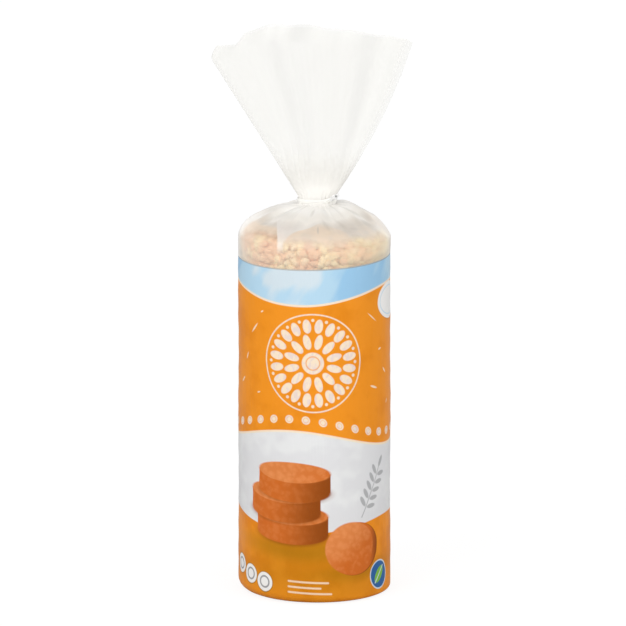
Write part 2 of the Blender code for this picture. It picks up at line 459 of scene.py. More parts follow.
class Finish(Tree):
    """A material's nodes."""

    def __init__(self, name):
        self.material = bpy.data.materials.new(name)
        self.material.use_nodes = True
        super().__init__(self.material.node_tree)
        self.shader = self.nodes["Principled BSDF"]

    def maths(self, operation, *values):
        made = self.node("ShaderNodeMath", {"operation": operation}, dict(enumerate(values)))
        return Value(self, made.outputs[0])

    def least(self, first, second):
        return self.maths("MINIMUM", first, second)

    def most(self, first, second):
        return self.maths("MAXIMUM", first, second)

    def ramp(self, value, start, end):
        """0 at start, 1 at end, smooth between."""
        sockets = {"Value": value, "From Min": start, "From Max": end}
        made = self.node("ShaderNodeMapRange", {"interpolation_type": "SMOOTHSTEP"}, sockets)
        return Value(self, made.outputs["Result"])

    def band(self, value, start, full, fade, gone):
        """1 between full and fade, 0 before start and after gone."""
        return self.ramp(value, start, full) * self.ramp(value, gone, fade)

    def blend(self, first, second, share):
        made = self.node("ShaderNodeMix", {"data_type": "RGBA"})
        self.plug(made.inputs[0], share)
        self.plug(made.inputs[6], first)
        self.plug(made.inputs[7], second)
        return made.outputs[2]

    def coats(self, colour, *coats):
        """Lays coats on a colour in turn, each given as (colour, share)."""
        for coat, share in coats:
            colour = self.blend(colour, coat, share)
        return colour

    def vector(self, x, y=0.0):
        return self.node("ShaderNodeCombineXYZ", {}, {"X": x, "Y": y}).outputs[0]

    def noise(self, place, scale, detail=2.0, roughness=0.5):
        sockets = {"Vector": place, "Scale": scale, "Detail": detail, "Roughness": roughness}
        return Value(self, self.node("ShaderNodeTexNoise", {}, sockets).outputs["Fac"])

    def solid_noise(self, sizes, shift=0.0, detail=2.0, roughness=0.5):
        """Noise in the piece's own space, in millimetres across and up, so it meets itself round the bag."""
        place = self.object_place()
        across, up = (size / MM for size in sizes)
        sockets = {"Vector": place, "Location": (shift, shift, shift), "Scale": (across, across, up)}
        made = self.node("ShaderNodeMapping", {"vector_type": "TEXTURE"}, sockets)
        return self.noise(made.outputs[0], 1.0, detail, roughness)

    def set(self, **values):
        for name, value in values.items():
            self.plug(self.shader.inputs[name.replace("_", " ")], value)

    def within(self, distance, soft=EDGE_SOFTNESS):
        """1 where a distance is below zero."""
        return self.ramp(distance, soft, -soft)

    def vector_maths(self, operation, *values):
        return self.node("ShaderNodeVectorMath", {"operation": operation}, dict(enumerate(values)))

    def length(self, place):
        return Value(self, self.vector_maths("LENGTH", place).outputs["Value"])

    def parts(self, place):
        made = self.node("ShaderNodeSeparateXYZ", {}, {"Vector": place})
        return Value(self, made.outputs["X"]), Value(self, made.outputs["Y"])

    def turned(self, place, centre, tilt=0.0, size=(1.0, 1.0)):
        """Places from a centre, on axes turned by tilt degrees, in units of a size."""
        sockets = {
            "Vector": place,
            "Location": (*centre, 0.0),
            "Rotation": (0.0, 0.0, math.radians(tilt)),
            "Scale": (*size, 1.0),
        }
        return self.node("ShaderNodeMapping", {"vector_type": "TEXTURE"}, sockets).outputs[0]

    def oval(self, place, centre, radii, tilt=0.0, soft=EDGE_SOFTNESS):
        edge = soft / min(radii)
        return self.ramp(self.length(self.turned(place, centre, tilt, radii)), 1 + edge, 1 - edge)

    def disc(self, place, centre, radius):
        return self.oval(place, centre, (radius, radius))

    def ring(self, place, centre, radius, width):
        reach = self.length(self.turned(place, centre))
        return self.within(abs(reach - radius) - width / 2)

    def bar(self, place, centre, size, corner=0.5, tilt=0.0):
        """A bar with round corners."""
        inner = (size[0] / 2 - corner, size[1] / 2 - corner, 1.0)
        away = self.vector_maths("ABSOLUTE", self.turned(place, centre, tilt)).outputs[0]
        away = self.vector_maths("SUBTRACT", away, inner).outputs[0]
        away = self.vector_maths("MAXIMUM", away, (0.0, 0.0, 0.0)).outputs[0]
        return self.within(self.length(away) - corner)

    def repeated(self, x, pitch):
        """The place in a row of cells, from the middle of each."""
        return self.maths("FLOORED_MODULO", x, pitch) - pitch / 2

    def cell(self, x, pitch):
        """A number from 0 to 1 for each cell of a row."""
        place = self.vector(self.maths("FLOOR", x / pitch))
        return Value(self, self.node("ShaderNodeTexWhiteNoise", {}, {"Vector": place}).outputs["Value"])

    def object_place(self):
        return self.node("ShaderNodeTexCoord").outputs["Object"]

    def film_place(self):
        """Millimetres across from the middle of the front, and up from the ground."""
        place = self.node("ShaderNodeUVMap", {"uv_map": "film"}).outputs[0]
        return self.vector_maths("MULTIPLY", place, (MM, MM, 0.0)).outputs[0]

    def off_seam(self, x):
        """0 at the seam down the back, 1 elsewhere: for a pattern whose two ends don't meet."""
        return self.ramp(abs(x), ROUND * 0.49, ROUND * 0.4)

    def bump(self, height, strength, distance):
        made = self.node("ShaderNodeBump", {}, {"Strength": strength, "Distance": distance, "Height": height})
        self.set(Normal=made.outputs[0])


# ---- the film


def make_film():
    """One sheet of film, rolled into a tube, gathered and spread, with its flat places kept in its UV map."""
    rows = film_rows()
    bpy.ops.mesh.primitive_grid_add(x_subdivisions=AROUND, y_subdivisions=len(rows) - 1, size=1.0)
    film = named("clear_film")
    front = [zone(-math.pi / 2, share) for zone, share in rows]
    ups = [0.0]
    for low, high in zip(front, front[1:]):
        ups.append(ups[-1] + (high - low).length)
    foot = rows.index((heel_point, 1.0))
    shift = front[foot].z - FLOOR - ups[foot]
    uv = film.data.uv_layers.active
    uv.name = "film"
    for corner in uv.data:
        row = round(corner.uv.y * (len(rows) - 1))
        corner.uv = ((corner.uv.x - 0.5) * 2 * math.pi * FILM_RADIUS, ups[row] + shift)
    for vertex in film.data.vertices:
        zone, share = rows[round((vertex.co.y + 0.5) * (len(rows) - 1))]
        angle = (vertex.co.x + 0.5) * 2 * math.pi + math.pi / 2
        vertex.co = zone(angle, share)
    edit(film)
    bpy.ops.mesh.remove_doubles(threshold=FILM_WELD)
    bpy.ops.mesh.normals_make_consistent(inside=False)
    bpy.ops.object.mode_set(mode="OBJECT")
    bpy.ops.object.shade_smooth()
    return film


def cut_film(film):
    """Cuts the film along the print's upper edge, and returns the printed part."""
    edit(film)
    middle = Vector((0, 0, PRINT_TOP))
    across = Vector((math.sin(-PRINT_LEAN), 0, math.cos(PRINT_LEAN)))
    bpy.ops.mesh.bisect(plane_co=middle, plane_no=across)
    bpy.ops.mesh.select_all(action="DESELECT")
    bpy.ops.object.mode_set(mode="OBJECT")
    for face in film.data.polygons:
        face.select = (face.center - middle).dot(across) < 0
    bpy.ops.object.mode_set(mode="EDIT")
    bpy.ops.mesh.select_mode(type="FACE")
    bpy.ops.mesh.separate(type="SELECTED")
    bpy.ops.object.mode_set(mode="OBJECT")
    printed = next(o for o in bpy.context.selected_objects if o != film)
    printed.name = "printed_film"
    printed.data.name = "printed_film"
    return printed


# ---- the cakes


def make_grain(index):
    """A puffed grain: a long, lumpy swelling, one of a few kinds."""
    deselect()
    bpy.ops.mesh.primitive_ico_sphere_add(subdivisions=2, radius=1.0)
    grain = named(f"grain_{index}")
    for vertex in grain.data.vertices:
        place = vertex.co * GRAIN_LUMP_SCALE + GRAIN_KIND_SHIFT * index
        vertex.co *= 1 + GRAIN_LUMPS * noise.noise(place)
        vertex.co = Vector((a * b for a, b in zip(vertex.co, GRAIN)))
    bpy.ops.object.shade_smooth()
    return grain


def make_grain_kinds():
    """The kinds of grain in a collection of their own, to be set on the cakes."""
    kinds = bpy.data.collections.new("grain kinds")
    for index in range(GRAIN_KINDS):
        grain = make_grain(index)
        bpy.context.collection.objects.unlink(grain)
        kinds.objects.link(grain)
    return kinds


def grain_nodes(kinds, seed):
    """Geometry nodes that set grains all over a cake's core."""
    group = bpy.data.node_groups.new(f"grains {seed}", "GeometryNodeTree")
    group.interface.new_socket("Geometry", in_out="INPUT", socket_type="NodeSocketGeometry")
    group.interface.new_socket("Geometry", in_out="OUTPUT", socket_type="NodeSocketGeometry")
    node = Tree(group).node

    def random(number, kind, socket, **limits):
        made = node("FunctionNodeRandomValue", {"data_type": kind}, {**limits, "Seed": seed + number})
        return next(s for s in made.outputs if s.type == socket)

    core = node("NodeGroupInput").outputs[0]
    spread = node(
        "GeometryNodeDistributePointsOnFaces",
        {"distribute_method": "POISSON"},
        {"Mesh": core, "Distance Min": GRAIN_SPACING, "Density Max": GRAIN_DENSITY, "Seed": seed},
    )
    pick = random(1, "INT", "INT", Min=0, Max=GRAIN_KINDS - 1)
    least, most = (-GRAIN_TILT, -GRAIN_TILT, 0.0), (GRAIN_TILT, GRAIN_TILT, 2 * math.pi)
    turn = random(2, "FLOAT_VECTOR", "VECTOR", Min=least, Max=most)
    size = random(3, "FLOAT_VECTOR", "VECTOR", Min=GRAIN_SMALL, Max=GRAIN_LARGE)
    tone = random(4, "FLOAT", "VALUE")
    turned = node("FunctionNodeEulerToRotation", {}, {"Euler": turn})
    rotation = node(
        "FunctionNodeRotateRotation",
        {"rotation_space": "LOCAL"},
        {"Rotation": spread.outputs["Rotation"], "Rotate By": turned.outputs[0]},
    )
    choices = node("GeometryNodeCollectionInfo", {}, {"Collection": kinds, "Separate Children": True})
    placed = node(
        "GeometryNodeInstanceOnPoints",
        {},
        {
            "Points": spread.outputs["Points"],
            "Instance": choices.outputs[0],
            "Pick Instance": True,
            "Instance Index": pick,
            "Rotation": rotation.outputs[0],
            "Scale": size,
        },
    )
    toned = node(
        "GeometryNodeStoreNamedAttribute",
        {"data_type": "FLOAT", "domain": "INSTANCE"},
        {"Geometry": placed.outputs[0], "Name": "tone", "Value": tone},
    )
    real = node("GeometryNodeRealizeInstances", {}, {"Geometry": toned.outputs[0]})
    both = node("GeometryNodeJoinGeometry")
    group.links.new(core, both.inputs[0])
    group.links.new(real.outputs[0], both.inputs[0])
    node("NodeGroupOutput", {}, {0: both.outputs[0]})
    return group


def press_in(cake):
    """Presses the grains in softly where they would stand through the film."""
    for vertex in cake.data.vertices:
        angle = math.atan2(vertex.co.y, vertex.co.x)
        rise = (vertex.co.z - SHOULDER_START) / RIM_RISE
        turn = math.asin(min(1.0, max(0.0, rise)))
        reach = rim_point(angle, turn / RIM_END).xy.length - FILM_GAP
        across = vertex.co.xy.length
        beyond = across - reach + FILM_HOLD
        if beyond > 0:
            vertex.co.xy *= (reach - FILM_HOLD * math.exp(-beyond / FILM_HOLD)) / across


def make_cake(name, level, kinds, seed):
    """A puffed cake: a rounded core with grains set all over it. level is the cake's top."""
    deselect()
    shrink = GRAIN.z * GRAIN_SUNK
    thickness = CAKE_THICKNESS - 2 * shrink
    middle = (0, 0, level - CAKE_THICKNESS / 2)
    bpy.ops.mesh.primitive_cylinder_add(
        vertices=CAKE_SIDES, radius=CAKE_RADIUS - shrink, depth=thickness, location=middle
    )
    cake = named(name)
    round_edges(cake, thickness * CAKE_ROUNDING, 3)
    grains = cake.modifiers.new("grains", "NODES")
    grains.node_group = grain_nodes(kinds, seed)
    apply_modifiers(cake)
    press_in(cake)
    activate(cake)
    bpy.ops.object.shade_smooth()
    return cake


def make_stack(level):
    """The plain stack under the two cakes that show."""
    deselect()
    foot = FLOOR + STACK_LIFT
    middle = (0, 0, (level + foot) / 2)
    bpy.ops.mesh.primitive_cylinder_add(
        vertices=STACK_SIDES, radius=CAKE_RADIUS - STACK_INSET, depth=level - foot, location=middle
    )
    stack = named("cake_stack")
    round_edges(stack, HEEL_MEAN + HEEL_SWING, 4)
    activate(stack)
    bpy.ops.object.shade_smooth_by_angle(angle=STACK_SMOOTH)
    return stack


# ---- the tie


def on_loop(angle):
    """A point of the ribbon's middle, round the neck."""
    clear = TIE_CLEARANCE + WIRE_RADIUS - TIE_DRAWN_IN
    across, deep = NECK_ACROSS + clear, NECK_DEEP + clear
    return Vector((NECK_X + across * math.cos(angle), deep * math.sin(angle), TIE_HEIGHT))


def twisted_end(phase):
    """One strand of the twisted ends as (point, turn), from the neck outwards."""
    aside = TWIST_DIRECTION.cross(Vector((0, 0, 1))).normalized()
    upward = aside.cross(TWIST_DIRECTION)
    start = on_loop(TWIST_ANGLE) + TWIST_DIRECTION * TWIST_STANDOFF * TWIST_RADIUS
    strand = []
    for i in range(TWIST_POINTS + 1):
        share = i / TWIST_POINTS
        turn = phase + 2 * math.pi * TWIST_TURNS * share
        spread = TWIST_TIGHT * TWIST_RADIUS * (1 + TWIST_SPLAY * smooth(TWIST_SPLAY_START, 1.0, share))
        offset = aside * math.cos(turn) + upward * math.sin(turn)
        strand.append((start + TWIST_DIRECTION * TWIST_LENGTH * share + offset * spread, turn - phase))
    return strand


def ribbon_section():
    """The ribbon across its width: two thin wings and the wire between them."""
    turns = [math.pi * i / WIRE_FACETS for i in range(WIRE_FACETS + 1)]
    wire = [(RIBBON_WIRE * math.cos(t), RIBBON_WIRE * WIRE_FLAT * math.sin(t) + RIBBON_THICK) for t in turns]
    wing = [(RIBBON_HALF, RIBBON_THICK * 0.4), (RIBBON_HALF * 0.7, RIBBON_THICK)]
    top = wing + wire + [(-x, y) for x, y in reversed(wing)]
    return top + [(-x, -y) for x, y in top]


def tie_path():
    """The ribbon's middle as (point, turn): in along one strand, round the neck, out along the other."""
    first = TWIST_ANGLE + TWIST_SPREAD
    span = 2 * math.pi - 2 * TWIST_SPREAD
    loop = [(on_loop(first + span * i / LOOP_POINTS), 0.0) for i in range(LOOP_POINTS + 1)]
    path = twisted_end(math.pi)[::-1] + loop + [(point, -turn) for point, turn in twisted_end(0.0)]
    points = [point for point, turn in path]
    for _ in range(EASING):
        eased = [(a + 2 * b + c) / 4 for a, b, c in zip(points, points[1:], points[2:])]
        points = [points[0], *eased, points[-1]]
    return [(point, turn) for point, (_, turn) in zip(points, path)]


def make_tie():
    """The ribbon's section swept along its path, and closed at both ends."""
    path = tie_path()
    section = ribbon_section()
    deselect()
    bpy.ops.mesh.primitive_grid_add(x_subdivisions=len(section), y_subdivisions=len(path) - 1, size=1.0)
    tie = named("tie_ribbon")
    for vertex in tie.data.vertices:
        row = round((vertex.co.y + 0.5) * (len(path) - 1))
        point, turn = path[row]
        along = (path[min(row + 1, len(path) - 1)][0] - path[max(row - 1, 0)][0]).normalized()
        upward = (Vector((0, 0, 1)) - along * along.z).normalized()
        outward = along.cross(upward)
        wide = upward * math.cos(turn) + outward * math.sin(turn)
        thick = along.cross(wide)
        x, y = section[round((vertex.co.x + 0.5) * len(section)) % len(section)]
        vertex.co = point + wide * x + thick * y
    edit(tie)
    bpy.ops.mesh.remove_doubles(threshold=TIE_WELD)
    bpy.ops.mesh.select_all(action="DESELECT")
    bpy.ops.mesh.select_mode(type="EDGE")
    bpy.ops.mesh.select_non_manifold()
    bpy.ops.mesh.edge_face_add()
    bpy.ops.mesh.select_all(action="SELECT")
    bpy.ops.mesh.normals_make_consistent(inside=False)
    bpy.ops.object.mode_set(mode="OBJECT")
    bpy.ops.object.shade_smooth_by_angle(angle=TIE_SMOOTH)
    return tie


# ---- materials


CREAM = (0.90, 0.74, 0.56)
CREAM_WORN = (0.80, 0.66, 0.60)
WHITE = (0.86, 0.85, 0.83)
ORANGE = (0.85, 0.285, 0.014)
DEEP_ORANGE = (0.74, 0.225, 0.006)
SKY = (0.45, 0.66, 0.81)
SKY_DEEP = (0.32, 0.56, 0.78)
SKY_PALE = (0.63, 0.73, 0.79)
GREY = (0.72, 0.72, 0.73)
GREY_PALE = (0.775, 0.78, 0.78)
# painted shade along the print's upper edge
PRINT_EDGE_SHADE = (0.30, 0.25, 0.20)
SOFT_INK = (0.30, 0.30, 0.31)
SHADOW = (0.40, 0.17, 0.002)
BADGE_BLUE = (0.028, 0.12, 0.33)
BADGE_GREEN = (0.20, 0.45, 0.06)
CARAMEL_TOP = (0.76, 0.27, 0.085)
CARAMEL_SIDE = (0.60, 0.14, 0.018)
CARAMEL_DARK = (0.27, 0.06, 0.004)

# How milky the clear film is, from 0 to 1, and where, in millimetres on the flat film
HAZE_THIN = 0.29
HAZE_VEIL = 0.30
HAZE_SHOULDER = 0.42
HAZE_FAN = 0.31
HAZE_MOST = 0.95
VEIL_FOOT = 236.5
SHOULDER_HAZE = (250.0, 271.0)
FAN_HAZE = (281.0, 322.0)
TONGUE_FOOT = 231.7  # above it the tongue's edges lean apart
TONGUE_LEFT = -24.7
TONGUE_LEFT_LEAN = 0.026
TONGUE_RIGHT = -21.0
TONGUE_RIGHT_LEAN = 0.0018
TONGUE_RISE = (228.5, 235.0, 250.0, 262.0)
DRAPE_PAINTED_LIGHT = ((3.0, 236.0), (24.0, 19.0))  # painted light: film over the front of the top cake tinted like lit cake, though the cake there lies in shade: middle and radii
# painted shade: the darker film in the creases of a few folds, where shade falls
NECK_FOLD_SHADE = ((-5.4, 272.0), (3.0, 4.6), -12)  # middle, radii and tilt
FRONT_FOLD_SHADE = ((3.0, 249.0), (0.8, 3.2), 0)
SMALL_FOLD_SHADES = (
    ((9.7, 255.0), (1.8, 6.0), 24),
    ((24.2, 255.5), (1.7, 5.5), 28),
    ((52.0, 250.0), (3.4, 4.2), 20),
    ((-50.0, 249.5), (4.4, 1.8), 18),
    ((34.0, 247.5), (3.6, 1.3), -10),
)

# The print's places, in millimetres
WAVE_SHIFT = 12.0
SKY_FOOT = (201.0, -4.5)  # an edge that follows the wave: its height, and how far it swings
BAND_FOOT = (107.0, 6.5)
GROUND_TOP = (50.5, -4.5)
BORDER = (115.0, 6.5)
BORDER_CAKES = (28, 2.7)  # how many, and their radius
ROSETTE_MIDDLE = (-1.0, 159.0)
ROSETTE_CAKE = 7.2
ROSETTE_RINGS = ((12, 14.4, 5.0, 2.5), (20, 24.6, 4.6, 2.7))  # grains, reach, half length, half width
ROSETTE_DOTS = (20, 28.4)  # how many, and their reach
ROSETTE_RIM = 32.2
FLECKS = (  # across, up, half length, half width and tilt
    (-44, 178, 4.2, 0.6, 50),
    (-52, 158, 2.6, 0.5, 64),
    (-40, 136, 1.3, 0.5, 20),
    (-58, 141, 3.0, 0.6, 44),
    (-37, 190, 1.2, 0.5, 30),
    (42, 186, 4.4, 0.4, -38),
    (50, 164, 1.4, 0.6, 15),
    (44, 140, 3.4, 0.7, -20),
    (56, 149, 2.4, 0.6, -48),
    (60, 128, 1.5, 0.5, 60),
)
LYING_CAKES = ((-16.0, 44.5), (-21.0, 58.5), (-14.5, 72.5))  # the feet
LYING_TOP = 13.5  # over its foot
LYING_RADII = (25.0, 6.8)
LYING_SIDE = 12.8
STANDING_CAKE = Vector((25.0, 36.5))
STANDING_TILT = 12
CAKE_SHADOWS = (  # middle, radii, tilt, softness and depth
    ((4.0, 18.0), (54.0, 16.0), 0, 11.0, 0.45),
    ((-10.0, 36.0), (38.0, 8.0), 0, 5.0, 0.75),
    ((31.0, 20.5), (26.0, 5.0), 3, 4.0, 0.6),
)
DISCS = ((-62.0, 17.0), (-48.5, 13.2), (-35.0, 10.6))
DISC_RADIUS = 6.3
BARS = ((-4.0, 14.0, 27.0), (-6.5, 10.4, 22.0), (-3.0, 6.8, 29.0))  # middle across, up, and length
BADGE = (50.0, 16.0)
BADGE_RADIUS = 8.8
SPRIG = ((36.0, 62.0), 62.0)  # its foot, and its tilt
TAGS = (((66.0, 193.0), (18.0, 12.0), -8), ((-92.0, 160.0), (15.0, 11.0), 0))  # middle, radii and tilt
BACK_PANEL = ((0.0, 157.0), (96.0, 60.0))  # its middle, measured across from the seam, and size
BACK_ROWS = (120.0, 5.2)  # the first, and the pitch
BACK_ROWS_SPAN = (156.4, 23.4)  # their middle, and half their height
BACK_ROWS_START = 10.0
BACK_ROWS_END = (31.0, 9.0)  # of the shortest, and how much further the longest may reach
BACK_LABEL = (28.0, 82.0)
BACK_LINES = (68.0, 3.4)  # one of them, and the pitch


def rice_cake_finish():
    """Puffed rice: peach to straw, each grain in a tone of its own, with browned spots, and straw towards +X as
    painted light.
    """
    tree = Finish("puffed rice")
    place = tree.object_place()
    tone = Value(tree, tree.node("ShaderNodeAttribute", {"attribute_name": "tone"}).outputs["Fac"])
    # broad: slow tone noise, plus a rise towards +X that is painted light, paler where the lamps leave the
    # cakes' right side dim
    broad = tree.noise(place, 60.0, 1.0) + tree.parts(place)[0] * 2.2
    patch = tree.noise(place, 170.0, 3.0)
    spot = tree.noise(place, 420.0, 2.0)
    peach = (0.92, 0.57, 0.34)
    pale = (0.96, 0.77, 0.49)
    straw = (0.99, 0.80, 0.47)
    brown = (0.60, 0.31, 0.18)
    colour = tree.coats(
        peach,
        (pale, tree.ramp(tone * 0.35 + patch * 0.8 + broad, 0.85, 1.25)),
        (straw, tree.ramp(tone * 0.6 + broad, 0.80, 1.12)),
        (brown, tree.ramp(spot + patch * 0.7, 0.92, 1.1) * 0.6),
    )
    tree.set(Base_Color=colour, Roughness=0.55)
    tree.bump(spot, 0.35, 0.0004)
    return tree.material


def tie_finish():
    """Off-white covered wire, greyer at its twisted ends."""
    tree = Finish("ribbon and wire")
    place = tree.object_place()
    mottle = tree.noise(place, 900.0, 2.0)
    x, y = tree.parts(place)
    ends = tree.ramp(x * 0.4 - y, 0.0115, 0.0140)
    colour = tree.coats((0.86, 0.85, 0.81), ((0.91, 0.90, 0.86), mottle), ((0.84, 0.84, 0.83), ends))
    tree.set(Base_Color=colour, Roughness=0.38)
    tree.bump(mottle, 0.3, 0.0001)
    return tree.material


def film_tongue(tree, place):
    """The tongue of haze down one fold at the left of the front, and the clear film to the left of it."""
    x, y = tree.parts(place)
    lift = tree.most(y - TONGUE_FOOT, 0.0)
    left = x - TONGUE_LEFT + lift * lift * TONGUE_LEFT_LEAN
    right = x - TONGUE_RIGHT - lift * lift * lift * TONGUE_RIGHT_LEAN
    tongue = tree.within(right, 1.6) * tree.ramp(left, -0.9, 0.7) * tree.band(y, *TONGUE_RISE)
    return tongue, tree.within(left, 0.8) * tree.ramp(x, -72.0, -62.0)


def film_haze(tree, place, cloud, tongue, beside):
    """How milky the film is: thin on the cakes, thick on the shoulder, even in the fan."""
    x, y = tree.parts(place)
    streak = tree.noise(tree.turned(place, (5, 0), 0, (9.0, 70.0)), 1.0, 2.0)
    streak = (streak - 0.5) * tree.off_seam(x) * tree.ramp(y, 236.0, 250.0)
    foot = tree.most((x + 60.0) * 0.22, 0.0) * beside + VEIL_FOOT
    veil = tree.most(tree.ramp(y - foot + (cloud - 0.5) * 12.0, -3.5, 5.0), tongue)
    haze = veil * (cloud * 0.2 + HAZE_VEIL) + streak * 0.17 + HAZE_THIN
    haze = haze + tree.ramp(y, *SHOULDER_HAZE) * HAZE_SHOULDER
    fan = tree.ramp(y, *FAN_HAZE)
    right_fold = tree.ramp(abs(x - ROUND / 4), 8.0, 1.0)
    haze = haze + (streak * 0.03 + HAZE_FAN - right_fold * 0.09 - haze) * fan
    facing = Value(tree, tree.node("ShaderNodeLayerWeight", {}, {"Blend": 0.5}).outputs["Facing"])
    haze = haze + facing**3.0 * (0.7 - fan * 0.98)
    haze = haze + facing * facing * tree.ramp(y, 246.0, 238.0) * 0.4
    return tree.least(haze, HAZE_MOST)


def clear_film_finish():
    """Clear where it lies on the cakes, milky where it is gathered, with a tongue of haze down one fold."""
    tree = Finish("clear film")
    place = tree.film_place()
    x, y = tree.parts(place)
    cloud = tree.solid_noise((15.0, 12.0), 0.6, 3.0)
    tongue, beside = film_tongue(tree, place)
    drape_light = tree.oval(place, *DRAPE_PAINTED_LIGHT, 0, 1.6)
    # painted light: the tint of lit cake over the top cake's front and beside the tongue, where the cake lies
    # in shade; the cloud adds a random warmer tone
    warmth_and_painted_light = tree.ramp(cloud, 0.42, 0.60) * 0.35 + drape_light * 0.6
    warmth_and_painted_light = tree.ramp(y, 234.0, 240.0) * warmth_and_painted_light * (1 - tongue * 0.8)
    warmth_and_painted_light = tree.most(warmth_and_painted_light, beside * tree.band(y, 235.0, 240.0, 246.0, 252.0))
    # painted shade: the film darkened in its folds
    fold_shade = tree.oval(place, *NECK_FOLD_SHADE, 1.4) * 0.6
    fold_shade = tree.most(fold_shade, tree.oval(place, *FRONT_FOLD_SHADE, 0.5))
    for fold in SMALL_FOLD_SHADES:
        fold_shade = tree.most(fold_shade, tree.oval(place, *fold, 1.3) * 0.5)
    shoulder = tree.ramp(y, 262.0, 246.0)
    colour = tree.coats(
        (0.97, 0.90, 0.80),
        # a straw tint towards the right, which also stands in for light where the key light falls off
        ((1.0, 0.93, 0.76), tree.band(x, 8.0, 40.0, 90.0, 110.0)),
        ((0.85, 0.80, 0.73), tree.ramp(y, 235.0, 242.0)),
        ((0.93, 0.78, 0.63), warmth_and_painted_light),
        ((0.87, 0.835, 0.775), tree.ramp(y, 250.0, 262.0)),
        ((0.96, 0.93, 0.89), tongue * tree.ramp(y, 230.0, 248.0) * 0.7),
        ((0.93, 0.91, 0.87), tree.ramp(y, 263.0, 273.0)),
        ((0.83, 0.82, 0.77), tree.ramp(y, 278.0, 335.0)),
        ((0.60, 0.57, 0.52), fold_shade * 0.6),
        # painted highlight on the left of the shoulder, and painted shade on its right
        ((1.0, 0.96, 0.90), tree.band(x, -96.0, -86.0, -74.0, -62.0) * shoulder),
        ((0.80, 0.73, 0.64), tree.band(x, 60.0, 73.0, 86.0, 96.0) * shoulder),
    )
    tree.set(Base_Color=colour, Roughness=0.3, Alpha=film_haze(tree, place, cloud, tongue, beside))
    return tree.material


# ---- the print


def above(tree, place, edge):
    """How far a place is above an edge that follows the wave round the bag."""
    x, y = tree.parts(place)
    height, swing = edge
    return y - (tree.maths("COSINE", (x + WAVE_SHIFT) * (4 * math.pi / ROUND)) * swing + height)


def paint_fields(tree, place):
    """The broad fields: sky, an orange band, a pale field and an orange ground, with wavy edges."""
    x = tree.parts(place)[0]
    wash = tree.solid_noise((46.0, 34.0), 0.31, 1.0)
    streak = tree.noise(tree.turned(place, (9.0, 3.0), -35, (14.0, 60.0)), 1.0, 2.0)
    streak = (streak - 0.5) * tree.off_seam(x) + 0.5
    swell = tree.maths("COSINE", (x + WAVE_SHIFT) * (6 * math.pi / ROUND)) * 0.11
    depth = wash + streak * 0.5 + swell
    grain = tree.solid_noise((17.0, 17.0), 0.1, 3.0)
    cloud = tree.solid_noise((22.0, 17.0), 0.2, 2.0)
    top = above(tree, place, SKY_FOOT)
    low = above(tree, place, BAND_FOOT)
    ground = above(tree, place, GROUND_TOP)
    return tree.coats(
        SKY_DEEP,
        (SKY, tree.ramp(depth, 0.56, 0.68)),
        (SKY_PALE, tree.ramp(depth, 0.76, 0.88)),
        (tree.blend(ORANGE, DEEP_ORANGE, tree.ramp(grain, 0.46, 0.72) * 0.6), tree.within(top)),
        (tree.blend(GREY, GREY_PALE, tree.ramp(cloud, 0.42, 0.62)), tree.within(low)),
        (CREAM, tree.within(tree.least(abs(top), abs(low)) - 0.7)),
        (tree.blend(ORANGE, DEEP_ORANGE, tree.ramp(grain, 0.40, 0.62) * 0.9), tree.within(ground)),
    )


def paint_rosette(tree, colour, place):
    """A rosette of rice grains round a small cake, and a border of small cakes under it."""
    x = tree.parts(place)[0]
    worn = tree.noise(tree.turned(place, (5.0, 0.0), -12, (2.6, 5.5)), 1.0, 3.0)
    cream = tree.blend(CREAM, CREAM_WORN, tree.ramp(worn, 0.46, 0.60))
    middle = tree.turned(place, ROSETTE_MIDDLE)
    turn = tree.maths("ARCTAN2", *tree.parts(middle))
    reach = tree.length(middle)
    mark = tree.within(reach - ROSETTE_CAKE) - tree.within(abs(reach - 4.4) - 0.4) * 0.7
    for count, radius, long, wide in ROSETTE_RINGS:
        aside = tree.repeated(turn, 2 * math.pi / count) * reach
        mark = tree.most(mark, tree.oval(tree.vector(aside, reach), (0.0, radius), (wide, long), 0, 0.25))
    mark = tree.most(mark, tree.within(abs(reach - ROSETTE_RIM) - 0.45))
    count, radius = ROSETTE_DOTS
    dots = tree.repeated(turn + math.pi / count, 2 * math.pi / count) * reach
    mark = tree.most(mark, tree.disc(tree.vector(dots, reach), (0.0, radius), 1.0))
    count, radius = BORDER_CAKES
    reach = tree.length(tree.vector(tree.repeated(x, ROUND / count), above(tree, place, BORDER)))
    mark = tree.most(mark, tree.within(reach - radius) - tree.within(abs(reach - 1.6) - 0.2) * 0.6)
    return tree.blend(colour, cream, mark)


def paint_flecks(tree, colour, place):
    """A few loose cream flecks on the band."""
    mark = 0.0
    for across, up, long, wide, tilt in FLECKS:
        mark = tree.most(mark, tree.oval(place, (across, up), (long, wide), tilt, 0.2))
    return tree.blend(colour, CREAM, mark * 0.85)


def paint_tag(tree, colour, place, centre, radii, tilt):
    """A white oval tag with a thin line round it."""
    outer = tree.oval(place, centre, [radius - 2.4 for radius in radii], tilt)
    inner = tree.oval(place, centre, [radius - 3.1 for radius in radii], tilt)
    return tree.coats(
        colour,
        (SHADOW, tree.oval(place, (centre[0] + 0.5, centre[1] - 0.7), radii, tilt, 1.0) * 0.45),
        (WHITE, tree.oval(place, centre, radii, tilt)),
        (SKY, (outer - inner) * 0.8),
    )


